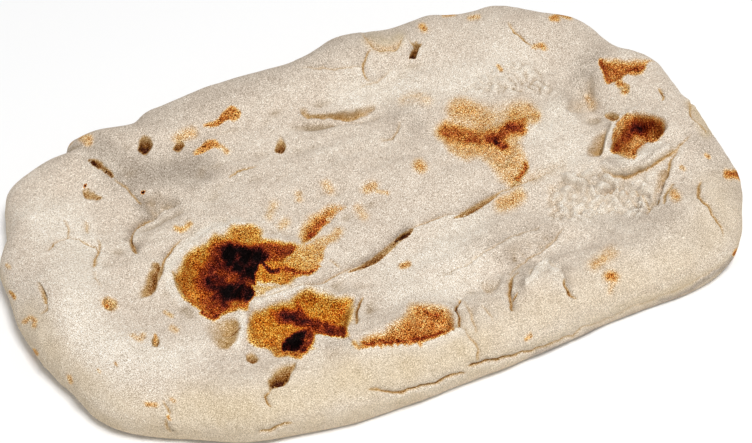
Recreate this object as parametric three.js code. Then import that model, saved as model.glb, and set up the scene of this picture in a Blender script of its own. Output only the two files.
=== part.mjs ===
import * as THREE from "three";
import { mergeVertices } from "three/addons/utils/BufferGeometryUtils.js";

// A pinsa base: a long oval flatbread, stretched by hand and baked plain, lying on its flat underside.
// Millimetres. x runs along the bread, y across it and z up; the origin is under the middle of its box.

// Driving dimensions of the whole bread
const LENGTH = 302;
const WIDTH = 192;
const CORNER_FULLNESS = 3; // exponent of the oval: 2 is an ellipse, more is squarer
const BELLY_HEIGHT = 9; // where the side stands out furthest
const RIM_HEIGHT = 21.5; // crest of the puffed rim
const RIM_REACH = 15; // from the outline in to the crest
const SHOULDER = 26; // from the crest in to the level of the floor
const FLOOR_HEIGHT = 16;
const FOOT_INSET = 5; // how far the flat underside stays behind the outline

// Lobes of the hand-shaped edge: direction and spread in degrees, reach outwards
const EDGE_LOBES = [
  { at: -39, spread: 11, reach: 12 },
  { at: -24, spread: 5, reach: 2.5 },
  { at: -13, spread: 4, reach: -2 },
  { at: 7, spread: 4, reach: 2.5 },
  { at: 15, spread: 6, reach: -7 },
  { at: 28, spread: 7, reach: -1.5 },
  { at: 38, spread: 4, reach: 4 },
  { at: 50, spread: 4, reach: 3 },
  { at: 59, spread: 5, reach: -2.5 },
  { at: 72, spread: 6, reach: 3 },
  { at: 88, spread: 8, reach: -4 },
  { at: 113, spread: 12, reach: -2.5 },
  { at: 130, spread: 5, reach: -6.5 },
  { at: 139, spread: 4, reach: 2 },
  { at: 141.8, spread: 2.3, reach: -7 }, // notch where a fold runs out over the edge
  { at: 150, spread: 5, reach: 3 },
  { at: 161, spread: 6, reach: -5.5 },
  { at: 172, spread: 4, reach: -2.5 },
  { at: 184, spread: 11, reach: -2.5 },
  { at: 194, spread: 7, reach: -4.5 },
  { at: 212, spread: 12, reach: -7.5 },
  { at: 230, spread: 7, reach: -2 },
];

// Soft swellings and sinkings of the top: half sizes, turn in degrees, height (below zero sinks)
const SWELLS = [
  { x: -128, y: -4, long: 52, wide: 26, turn: 80, height: 4.5 }, // puffed left end
  { x: -100, y: 74, long: 34, wide: 16, turn: 35, height: 2.5 }, // far left shoulder
  { x: 25, y: 76, long: 52, wide: 20, turn: -3, height: 2.5 }, // far rim
  { x: 82, y: 56, long: 40, wide: 26, turn: -25, height: 3 }, // far right puff
  { x: 20, y: 12, long: 66, wide: 34, turn: -8, height: 3 }, // middle of the crumb
  { x: -92, y: 10, long: 26, wide: 15, turn: 25, height: 3 }, // tongue beside the burst blister
  { x: -105, y: -38, long: 34, wide: 22, turn: -40, height: 3 }, // near left shoulder
  { x: 110, y: -35, long: 20, wide: 9, turn: -20, height: 3.5 }, // lip below the right cavity
  { x: 20, y: -44, long: 44, wide: 14, turn: 6, height: 2 }, // roll in front of the seam
  { x: 33, y: -77, long: 15, wide: 11, turn: 0, height: 2.5 }, // bump on the near rim
  { x: 95, y: -70, long: 44, wide: 22, turn: 15, height: 1.5 }, // broad near right rim
  { x: -80, y: 31, long: 20, wide: 11, turn: 5, height: -4 }, // valley behind the tongue
  { x: 110, y: 12, long: 24, wide: 10, turn: 80, height: -5 }, // valley in the far right
  { x: 82, y: -42, long: 36, wide: 18, turn: -15, height: -5 }, // floury pit
  { x: 32, y: -60, long: 44, wide: 9, turn: 10, height: -2.5 }, // valley behind the near rim
  { x: 10, y: 48, long: 26, wide: 7, turn: -10, height: -5 }, // long dent behind the far rim
];

// Burst blisters and finger dents: half sizes, turn in degrees, depth, height of the raised lip
const HOLLOWS = [
  { x: -65, y: -14, long: 33, wide: 23, turn: -14, depth: 11, lip: 2 }, // large burnt blister
  { x: -55, y: -50, long: 24, wide: 17, turn: -16, depth: 9, lip: 1.5 }, // second burnt blister
  { x: -24, y: -71, long: 21, wide: 10, turn: -20, depth: 6, lip: 0 }, // trough inside the near rim
  { x: -25, y: -4, long: 19, wide: 9, turn: 32, depth: 4, lip: 0 }, // browned furrow
  { x: 57, y: 8, long: 24, wide: 16, turn: -35, depth: 4, lip: 0 }, // browned star-shaped sink
  { x: 112, y: -21, long: 19, wide: 14, turn: 20, depth: 10, lip: 1 }, // right cavity
  { x: 131, y: 15, long: 16, wide: 11, turn: 15, depth: 3.5, lip: 0 }, // browned far right dent
  { x: -84, y: -45, long: 11, wide: 9, turn: 40, depth: 4, lip: 0 },
  { x: -74, y: -73, long: 9, wide: 8, turn: 0, depth: 4, lip: 0 },
  { x: -72, y: 64, long: 9, wide: 8, turn: 60, depth: 3.5, lip: 0 },
  { x: -57, y: 58, long: 8, wide: 7, turn: 0, depth: 2, lip: 0 },
  { x: -94, y: 59, long: 13, wide: 8, turn: -70, depth: 3.5, lip: 0 },
  { x: -104, y: 45, long: 9, wide: 8, turn: 0, depth: 2, lip: 0 },
  { x: -23, y: 40, long: 8, wide: 7, turn: 60, depth: 2, lip: 0 },
  { x: -101, y: -6, long: 11, wide: 8, turn: 60, depth: 3, lip: 0 },
  { x: 95, y: -19, long: 11, wide: 8, turn: 60, depth: 4, lip: 0 },
  { x: 54, y: 70, long: 9, wide: 8, turn: 70, depth: 3.5, lip: 0 },
];

const BOWL_BREADTH = 3; // power of the bowl's section: more gives a flatter floor
const BOWL_ROUNDING = 1.5; // power that rounds the bowl's edge over
const LIP_PLACE = 1.15; // crest of the lip, in half sizes from the middle
const LIP_SPREAD = 0.2;

// Seams and creases in the skin: plan points, half width, depth
const CREASES = [
  // main seam along the middle
  { wide: 5, depth: 5, along: [[-72, -33], [-36, -34], [-2, -28], [27, -28], [46, -24], [77, -22]] },
  // edge of the tongue
  { wide: 4, depth: 3, along: [[-74, 27], [-90, 23], [-99, 15], [-98, 6]] },
  // fold below the right cavity
  { wide: 4, depth: 3, along: [[103, -43], [116, -37], [127, -27], [134, -15]] },
  // round the bump on the near rim
  { wide: 4, depth: 2, along: [[18, -84], [20, -70], [33, -64], [45, -72], [48, -84]] },
];

const CREASE_TAPER = 0.4; // power of the fade towards a crease's ends

// Long low waves left by stretching: wavelength, direction in degrees, start in degrees, height
const WAVES = [
  { length: 61, toward: 20, start: 40, height: 0.7 },
  { length: 43, toward: 105, start: 200, height: 0.6 },
  { length: 33, toward: 150, start: 310, height: 0.4 },
];

// How finely the skin is divided
const COLUMNS = 86;
const ROWS = 54;
const SIDE_STEPS = 4;
const RIM_SHARE = 5 / 27; // outer share of the grid that rounds the rim
const CREASE_SAMPLES = 48;
const SLANT_STEP = 2; // degrees either side over which the oval's slant is taken
const LOWER_FACE = 5; // its place among the six faces of the starting block
const SAME_POINT = 1e-4; // block corners closer than this are one

const CRUST_COLOUR = "#e3d8c8";
const CRUST_ROUGHNESS = 0.95;

const radians = THREE.MathUtils.degToRad;
const ease = THREE.MathUtils.smoothstep;

// Distance from the middle to the plain oval, in the direction theta.
function ovalRadius(theta) {
  const across = Math.abs(Math.sin(theta) / (WIDTH / 2)) ** CORNER_FULLNESS;
  const along = Math.abs(Math.cos(theta) / (LENGTH / 2)) ** CORNER_FULLNESS;
  return (across + along) ** (-1 / CORNER_FULLNESS);
}

// Cosine between the ray in the direction theta and the square-on direction to the oval there.
function ovalSlant(theta) {
  const step = radians(SLANT_STEP);
  const slope = (ovalRadius(theta + step) - ovalRadius(theta - step)) / (2 * step);
  return 1 / Math.hypot(1, slope / ovalRadius(theta));
}

// How far the hand-shaped edge stands out of the oval, in the direction theta.
function lobeReach(theta) {
  let reach = 0;
  for (const lobe of EDGE_LOBES) {
    const turn = theta - radians(lobe.at);
    const off = Math.atan2(Math.sin(turn), Math.cos(turn)) / radians(lobe.spread);
    reach += lobe.reach * Math.exp(-off * off);
  }
  return reach;
}

// How far a plan point is from an oval's middle, 1 on the oval itself.
function ovalDistance(x, y, oval) {
  const turn = radians(oval.turn);
  const along = (x - oval.x) * Math.cos(turn) + (y - oval.y) * Math.sin(turn);
  const across = (y - oval.y) * Math.cos(turn) - (x - oval.x) * Math.sin(turn);
  return Math.hypot(along / oval.long, across / oval.wide);
}

// Rise of a soft swelling, level and flat at its edge.
function swellRise(x, y, swell) {
  const t = Math.min(ovalDistance(x, y, swell), 1);
  return swell.height * (1 - t * t) ** 2;
}

// Rise of a hollow: a bowl with a broad floor, inside a raised lip.
function hollowRise(x, y, hollow) {
  const t = ovalDistance(x, y, hollow);
  const bowl = t < 1 ? (1 - t ** BOWL_BREADTH) ** BOWL_ROUNDING : 0;
  const lip = Math.exp(-(((t - LIP_PLACE) / LIP_SPREAD) ** 2));
  return hollow.lip * lip - hollow.depth * bowl;
}

// A crease as a run of plan points along a smooth curve.
function creaseRun(crease) {
  const curve = new THREE.CatmullRomCurve3(crease.along.map(([x, y]) => new THREE.Vector3(x, y, 0)));
  return { ...crease, run: curve.getPoints(CREASE_SAMPLES) };
}

const CREASE_RUNS = CREASES.map(creaseRun);

// Rise of a crease, a groove that fades at both ends.
function creaseRise(x, y, crease) {
  let nearest = Infinity;
  let place = 0;
  crease.run.forEach((point, index) => {
    const distance = Math.hypot(x - point.x, y - point.y);
    if (distance < nearest) {
      nearest = distance;
      place = index / CREASE_SAMPLES;
    }
  });
  const fade = Math.sin(Math.PI * place) ** CREASE_TAPER;
  return -crease.depth * fade * Math.exp(-((nearest / crease.wide) ** 2));
}

// Rise of a long wave.
function waveRise(x, y, wave) {
  const toward = radians(wave.toward);
  const phase = (x * Math.cos(toward) + y * Math.sin(toward)) / wave.length;
  return wave.height * Math.sin(2 * Math.PI * phase + radians(wave.start));
}

// Height of the skin over a plan point that lies inset millimetres inside the outline.
function skinHeight(x, y, inset) {
  const crown = Math.sqrt(1 - (1 - Math.min(inset / RIM_REACH, 1)) ** 2);
  const inner = ease(inset - RIM_REACH, 0, SHOULDER);
  const crest = RIM_HEIGHT - (RIM_HEIGHT - FLOOR_HEIGHT) * inner;
  const total = (features, rise) => features.reduce((sum, feature) => sum + rise(x, y, feature), 0);
  const soft = total(SWELLS, swellRise) + total(WAVES, waveRise);
  const broken = total(HOLLOWS, hollowRise) + total(CREASE_RUNS, creaseRise);
  return BELLY_HEIGHT + (crest + soft + broken - BELLY_HEIGHT) * crown;
}

// Place on the bread of a point of the starting block, whose corners are at plus and minus one.
function kneaded(u, v, w) {
  const discX = u * Math.sqrt(1 - (v * v) / 2);
  const discY = v * Math.sqrt(1 - (u * u) / 2);
  const share = Math.min(Math.hypot(discX, discY), 1);
  const theta = Math.atan2(discY * WIDTH, discX * LENGTH);
  const radius = ovalRadius(theta);
  const slant = ovalSlant(theta);
  const rimStart = 1 - RIM_SHARE;
  const roundRim = ((share - rimStart) / RIM_SHARE) * (Math.PI / 2);
  const inward = (radius * slant - RIM_REACH) * (1 - share / rimStart);
  const inset = RIM_REACH + (share > rimStart ? -RIM_REACH * Math.sin(roundRim) : inward);
  const under = ((1 - w) / 2) * (Math.PI / 2);
  const tucked = inset + FOOT_INSET * (1 - Math.cos(under));
  const reach = radius - tucked / slant + lobeReach(theta) * share ** 2;
  const x = reach * Math.cos(theta);
  const y = reach * Math.sin(theta);
  const z = w < 1 ? BELLY_HEIGHT * (1 - Math.sin(under)) : skinHeight(x, y, inset);
  return new THREE.Vector3(x, y, z);
}

// The block without its lower face, as one shell of shared corners.
function openBlock() {
  const block = new THREE.BoxGeometry(2, 2, 2, COLUMNS, ROWS, SIDE_STEPS);
  block.deleteAttribute("normal");
  block.deleteAttribute("uv");
  const lower = block.groups[LOWER_FACE];
  block.setIndex(Array.from(block.index.array).slice(0, lower.start));
  block.clearGroups();
  return mergeVertices(block, SAME_POINT);
}

// Corners of the block's lower edge, in order round it.
function lowerEdge(position) {
  const edge = [];
  for (let i = 0; i < position.count; i++) {
    if (position.getZ(i) < -1 + SAME_POINT) edge.push(i);
  }
  const bearing = (i) => Math.atan2(position.getY(i), position.getX(i));
  return edge.sort((a, b) => bearing(a) - bearing(b));
}

function breadGeometry() {
  const shell = openBlock();
  const position = shell.getAttribute("position");
  const edge = lowerEdge(position);
  for (let i = 0; i < position.count; i++) {
    const place = kneaded(position.getX(i), position.getY(i), position.getZ(i));
    position.setXYZ(i, place.x, place.y, place.z);
  }
  const contour = edge.map((i) => new THREE.Vector2(position.getX(i), position.getY(i)));
  const underside = THREE.ShapeUtils.triangulateShape(contour, []);
  const faces = Array.from(shell.index.array);
  for (const [a, b, c] of underside) faces.push(edge[a], edge[c], edge[b]);
  shell.setIndex(faces);
  shell.computeBoundingBox();
  const middle = shell.boundingBox.getCenter(new THREE.Vector3());
  shell.translate(-middle.x, -middle.y, 0);
  shell.computeVertexNormals();
  return shell;
}

const crust = new THREE.MeshStandardMaterial({
  color: CRUST_COLOUR,
  roughness: CRUST_ROUGHNESS,
  metalness: 0,
});

const pinsaBase = new THREE.Mesh(breadGeometry(), crust);
pinsaBase.name = "pinsa_base";

const part = new THREE.Group();
part.add(pinsaBase);

export default part;
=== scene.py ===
import itertools
import math

import bpy
import numpy as np
from mathutils import Matrix, Vector


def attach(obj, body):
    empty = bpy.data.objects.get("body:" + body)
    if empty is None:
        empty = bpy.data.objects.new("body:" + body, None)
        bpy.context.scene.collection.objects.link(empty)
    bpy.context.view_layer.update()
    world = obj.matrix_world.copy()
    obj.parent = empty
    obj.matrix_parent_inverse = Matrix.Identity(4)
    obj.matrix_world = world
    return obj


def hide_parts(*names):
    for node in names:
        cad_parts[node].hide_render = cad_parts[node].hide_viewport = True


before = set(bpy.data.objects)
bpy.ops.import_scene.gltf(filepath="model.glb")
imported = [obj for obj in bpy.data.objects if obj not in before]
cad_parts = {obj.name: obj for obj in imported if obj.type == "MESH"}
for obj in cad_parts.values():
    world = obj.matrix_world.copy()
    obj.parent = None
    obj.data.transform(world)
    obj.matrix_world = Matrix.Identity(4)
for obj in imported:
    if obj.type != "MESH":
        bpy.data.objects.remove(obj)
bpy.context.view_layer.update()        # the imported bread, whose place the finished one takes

# A pinsa base: a long oval flatbread, stretched by hand, dusted with flour and baked plain.
# Lengths are millimetres until the finished mesh is scaled, x along the bread, y across it, z up.

MM = 0.001

# Driving dimensions of the whole bread
LENGTH = 302
WIDTH = 192
CORNER_FULLNESS = 3        # exponent of the oval: 2 is an ellipse, more is squarer
BELLY_HEIGHT = 9           # where the side stands out furthest
RIM_HEIGHT = 21.5          # crest of the puffed rim
RIM_REACH = 15             # from the outline in to the crest
SHOULDER = 26              # from the crest in to the level of the floor
FLOOR_HEIGHT = 16
FOOT_INSET = 5             # how far the flat underside stays behind the outline
BLOCK_FACE = 0.999         # past this height, up or down, a point of the block is on its top or underside
SLANT_STEP = math.radians(2)      # turn over which the oval's slant is measured
RUN_STEPS = 5              # points of a smooth run for each one given
SHORTEST = 1e-9            # keeps stretches without length from dividing by nothing

# Lobes of the hand-shaped edge: direction and spread in degrees, reach outwards
EDGE_LOBES = [
    (-39, 11, 12), (-24, 5, 2.5), (-13, 4, -2), (7, 4, 2.5), (15, 6, -7), (28, 7, -1.5), (38, 4, 4),
    (50, 4, 3), (59, 5, -2.5), (72, 6, 3), (88, 8, -4), (113, 12, -2.5), (130, 5, -6.5), (139, 4, 2),
    (141.8, 2.3, -7), (150, 5, 3), (161, 6, -5.5), (172, 4, -2.5), (184, 11, -2.5), (194, 7, -4.5),
    (212, 12, -7.5), (230, 7, -2),
]

# Soft swellings and sinkings of the top: place, half sizes, turn in degrees, height
SWELLS = [
    (-128, -4, 52, 26, 80, 4.5),      # puffed left end
    (-100, 74, 34, 16, 35, 2.5),      # far left shoulder
    (25, 76, 52, 20, -3, 2.5),        # far rim
    (82, 56, 40, 26, -25, 3),         # far right puff
    (20, 12, 66, 34, -8, 3),          # middle of the crumb
    (-92, 10, 26, 15, 25, 3),         # tongue beside the burst blister
    (-105, -38, 34, 22, -40, 3),      # near left shoulder
    (110, -35, 20, 9, -20, 3.5),      # lip below the right cavity
    (20, -44, 44, 14, 6, 2),          # roll in front of the seam
    (33, -77, 15, 11, 0, 2.5),        # bump on the near rim
    (95, -70, 44, 22, 15, 1.5),       # broad near right rim
    (-80, 31, 20, 11, 5, -4),         # valley behind the tongue
    (110, 12, 24, 10, 80, -5),        # valley in the far right
    (82, -42, 36, 18, -15, -5),       # floury pit
    (32, -60, 44, 9, 10, -2.5),       # valley behind the near rim
    (10, 48, 26, 7, -10, -5),         # long dent behind the far rim
]

# Long low waves left by stretching: wavelength, direction and start in degrees, height
WAVES = [(61, 20, 40, 0.7), (43, 105, 200, 0.6), (33, 150, 310, 0.4)]

# How finely the skin is divided
COLUMNS = 200
ROWS = 126
SIDE_STEPS = 10
UNDERSIDE_SHARE = 4        # the underside has this many times fewer columns and rows
UNDERSIDE_SIZE = 1.9       # of the block's two units, inside the strip that joins it to the side
RIM_SHARE = 5 / 27         # outer share of the grid that rounds the rim
DETAIL_MARGIN = 2.2        # the skin is divided once more this far round a break or a brown patch
LINE_MARGIN = 1            # and twice this far round a crack or a sharp edge
FACING_LEAST = -0.1        # skin turned further from the camera than this is left unbroken

# The photograph's frame, and its camera in the bread's frame
PHOTO_SIZE = np.array((752, 443))
AZIMUTH = -27              # degrees
ELEVATION = 45             # degrees
LENS = 90
SENSOR = 36
DISTANCE = 761
TARGET = np.array((-3.1, -10.1, 10))


# Broken skin and its tones, placed by the photograph's pixels

def dent(depth, steep, gentle, toward, lip, *edge, **stain):
    """A burst blister, dent or hole: its depth, the length of its wall on the steep and on the gentle side,
    the pixel direction of the steep side, the height of its lip and the edge that shows. Its stain tells how
    brown (shade) it gets towards the steep side, how much painted shade, tan like dough bare of flour, it
    takes there (bare), how burnt its hidden wall is, and whether its edge is smooth."""
    return dict(depth=depth, steep=steep, gentle=gentle, toward=toward, lip=lip, edge=edge, **stain)


def fold(depth, near, far, lip, tint, *run, smooth=False):
    """A seam, crack or valley, or a ridge where the depth is negative: its spread on the near and on the far
    side, the height of its near lip, how brown its bottom is, and points with an optional strength."""
    return dict(depth=depth, near=near, far=far, lip=lip, tint=tint, run=run, smooth=smooth)


def patch(shade, crisp, soft, toward, *edge, smooth=False):
    """A tone with an edge that shows, and the lengths over which it fades in from that edge: crisp on the
    side that lies in a pixel direction, soft on the other."""
    return dict(shade=shade, crisp=crisp, soft=soft, toward=toward, edge=edge, smooth=smooth)


def stroke(shade, radius, *run):
    """A tone of a radius along a run of points."""
    return dict(shade=shade, radius=radius, run=run)


# Burst blisters, dents and holes
PITS = [
    # large burnt blister
    dent(7.5, 2, 13, (-0.3, 1), 1.8, (173, 276), (179, 267), (185, 257), (192, 249), (202, 242), (211, 235),
        (222, 231), (233, 227), (245, 227), (257, 233), (266, 239), (280, 242), (292, 247), (290, 257),
        (278, 263), (264, 266), (259, 274), (254, 283), (256, 292), (250, 300), (243, 307), (232, 312),
        (218, 319), (210, 320), (203, 316), (196, 308), (186, 300), (178, 289), burnt=0.5),
    # second blister, and the hole in its near side
    dent(4.5, 2.5, 9, (0, 1), 1.6, (243, 314), (250, 305), (262, 302), (284, 293), (303, 289), (322, 291),
        (336, 295), (357, 297), (353, 310), (351, 325), (348, 336), (335, 337), (322, 337), (313, 342),
        (304, 353), (296, 356), (284, 355), (272, 349), (259, 344), (250, 336), (244, 325), burnt=0.4),
    dent(5, 1.5, 2.5, (0, 1), 0, (279, 342), (286, 333), (299, 330), (312, 328), (318, 334), (310, 342),
        (304, 353), (296, 356), (284, 354), burnt=0.7),
    # trough behind the near rim
    dent(5, 1.5, 9, (0.3, 1), 0.6, (356, 340), (361, 348), (380, 345), (400, 344), (418, 343), (431, 338),
        (448, 332), (457, 330), (453, 312), (438, 306), (418, 306), (407, 311), (402, 320), (388, 324),
        (372, 331), burnt=0.3, smooth=True),
    # furrow behind the large blister
    dent(3.5, 1.5, 7, (1, 1), 0.6, (298, 243), (301, 224), (313, 211), (328, 203), (348, 203), (340, 212),
        (325, 226), (311, 239), burnt=0.4),
    # cavity at the right end, and the shaded dents beside it
    dent(9, 2, 8, (-0.3, 1), 1.8, (633, 112), (645, 112), (660, 117), (670, 125), (664, 137), (652, 143),
        (641, 149), (638, 157), (629, 160), (620, 155), (610, 151), (610, 145), (615, 137), (621, 127),
        (627, 119), burnt=0.5),
    dent(4, 1.2, 5, (1, 0.7), 0.3, (584, 150), (590, 140), (599, 133), (607, 128), (605, 139), (603, 150),
        (600, 157), (590, 156), shade=0.56, bare=0.3),
    dent(2.5, 0.9, 3, (0, 1), 0.2, (604, 114), (610, 110), (618, 112), (620, 118), (614, 121), (606, 119),
        shade=0.9),
    dent(2.4, 4, 8, (0.3, 1), 0.2, (560, 104), (572, 92), (580, 78), (590, 76), (597, 86), (600, 100),
        (597, 109), (585, 114), (570, 112), shade=0.05, bare=0.05),
    # brown dent on the far right puff, and the streak below it
    dent(2.2, 1, 6, (-0.3, 1), 0.3, (599, 57), (612, 56), (630, 57), (646, 57), (655, 61), (644, 67),
        (632, 72), (620, 77), (610, 86), (606, 76)),
    dent(1, 0.8, 2, (0, 1), 0.2, (617, 82), (622, 80), (629, 86), (627, 93), (622, 92), shade=0.6),
    # sunken skin round the cracked patch
    dent(2.2, 3, 8, (0, 1), 0, (440, 124), (462, 106), (486, 110), (497, 124), (536, 112), (526, 128),
        (520, 150), (508, 164), (490, 160), (470, 152), (446, 146)),
    # valley behind the tongue, and the pit between the tongue and the large blister
    dent(3.2, 1.2, 9, (0.5, 1), 0.2, (138, 200), (146, 190), (160, 190), (182, 199), (174, 207), (160, 213),
        (150, 220), (144, 213), bare=0.5),
    dent(3.2, 2.6, 6, (0.9, 0.3), 0.1, (151, 260), (161, 264), (160, 280), (156, 291), (147, 298),
        (138, 299), (137, 290), (142, 281), (147, 271), shade=0.95, bare=0.6),
    # two dents near the blisters
    dent(1.8, 3.6, 7, (1, 0.4), 0.1, (205, 321), (214, 319), (224, 317), (236, 315), (241, 322), (240, 332),
        (237, 342), (228, 350), (217, 349), (209, 342), (204, 331), shade=0.55, bare=0.6),
    dent(4, 1.2, 9, (0.5, 1), 0.4, (267, 376), (275, 366), (286, 361), (297, 361), (293, 374), (285, 385),
        (275, 390), (268, 394), (266, 386), shade=1.25),
    dent(1.4, 0.9, 2.5, (0, 1), 0.2, (245, 355), (252, 352), (260, 356), (259, 361), (252, 363), (246, 360),
        shade=0.84),
    # finger dents along the far left
    dent(4, 1.2, 4, (-0.1, 1), 0.2, (139, 138), (146, 134), (153, 139), (154, 146), (151, 152), (146, 155),
        (140, 154), (137, 148), shade=1.3),
    dent(2, 1, 3.5, (0, 1), 0.2, (172, 148), (177, 141), (179, 135), (183, 135), (185, 141), (186, 147),
        (182, 151), (175, 151), shade=0.95),
    dent(2.8, 0.8, 4, (-0.6, 0.8), 0.5, (87, 159), (95, 158), (104, 162), (111, 169), (115, 176),
        (111, 178), (105, 174), (99, 169), (92, 165), shade=1.5),
    dent(1.8, 0.8, 3, (-0.3, 1), 0.2, (80, 188), (87, 187), (93, 191), (100, 195), (104, 199), (98, 201),
        (90, 199), (84, 196), shade=0.78),
    dent(2.2, 0.8, 4, (0, 1), 0.2, (274, 142), (280, 134), (285, 140), (288, 147), (285, 152), (275, 152),
        (274, 147), shade=0.82, bare=0.4),
    # long dent behind the far rim
    dent(2.6, 0.9, 5, (0, 1), 0.5, (299, 108), (305, 106), (311, 111), (325, 112), (345, 111), (360, 107),
        (374, 102), (378, 104), (372, 112), (360, 119), (345, 121), (325, 119), (309, 119), (301, 114),
        shade=0.5, bare=0.2),
    # open lengths of the seam
    dent(1.2, 0.5, 2.2, (0.5, 1), 0.3, (340, 274), (352, 268.5), (364, 262.5), (375, 254.5), (385, 246),
        (395, 238), (405, 231.5), (414, 227), (410, 234.5), (400, 242.5), (390, 252), (379, 261.5),
        (366, 268), (352, 272), shade=0.86, smooth=True),
    dent(1.2, 0.5, 2.2, (0.5, 1), 0.3, (452, 218), (466, 208.5), (478, 201), (490, 195), (503, 189),
        (495, 198), (485, 205.5), (473, 213), (462, 217.5), shade=0.9, smooth=True),
    dent(0.8, 0.5, 0.8, (0.5, 1), 0, (394, 242), (400, 234), (407, 230), (414, 227), (411, 234), (404, 239),
        shade=1.5, smooth=True),
    # tear in the far rim
    dent(2.5, 0.8, 2, (0.3, 1), 0.3, (407, 40), (415, 43), (422, 42), (419, 50), (416, 58), (408, 60),
        (413, 51), (412, 46), shade=1.1),
    # small holes at the left end
    dent(1.6, 0.9, 3, (-0.3, 1), 0.2, (103, 299), (109, 295), (115, 298), (118, 305), (112, 311),
        (106, 310), (103, 305), shade=0.95),
    dent(2, 0.8, 2.5, (0, 1), 0.2, (151, 336), (157, 332), (160, 340), (157, 347), (152, 346), (150, 340),
        shade=0.85),
    dent(1.5, 0.8, 3, (0.9, 0.3), 0.2, (35, 279), (41, 283), (46, 292), (50, 301), (46, 304), (41, 298),
        (37, 290), shade=0.58),
    # valley between the seam and the near rim, and a dent on the rim
    dent(1.2, 3, 7, (0.6, 0.8), 0.2, (500, 252), (520, 237), (545, 225), (568, 220), (562, 232), (548, 246),
        (528, 260), (510, 266)),
    dent(1.2, 2, 4, (0.3, 1), 0, (478, 284), (490, 278), (502, 278), (498, 288), (490, 294), (482, 292),
        shade=0.15),
    # right wall of the floury pit
    dent(2.5, 1.5, 4, (1, 0.3), 0.3, (655, 174), (667, 168), (667, 182), (660, 193), (655, 205), (648, 217),
        (643, 212), (649, 198), (653, 186), shade=0.35, bare=0.5),
]
LIP_WIDTH = 3.2            # how far a lip spreads outwards
BURNT_RISE = 3             # how fast the burnt tone of a hidden wall comes in at the edge

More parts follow.
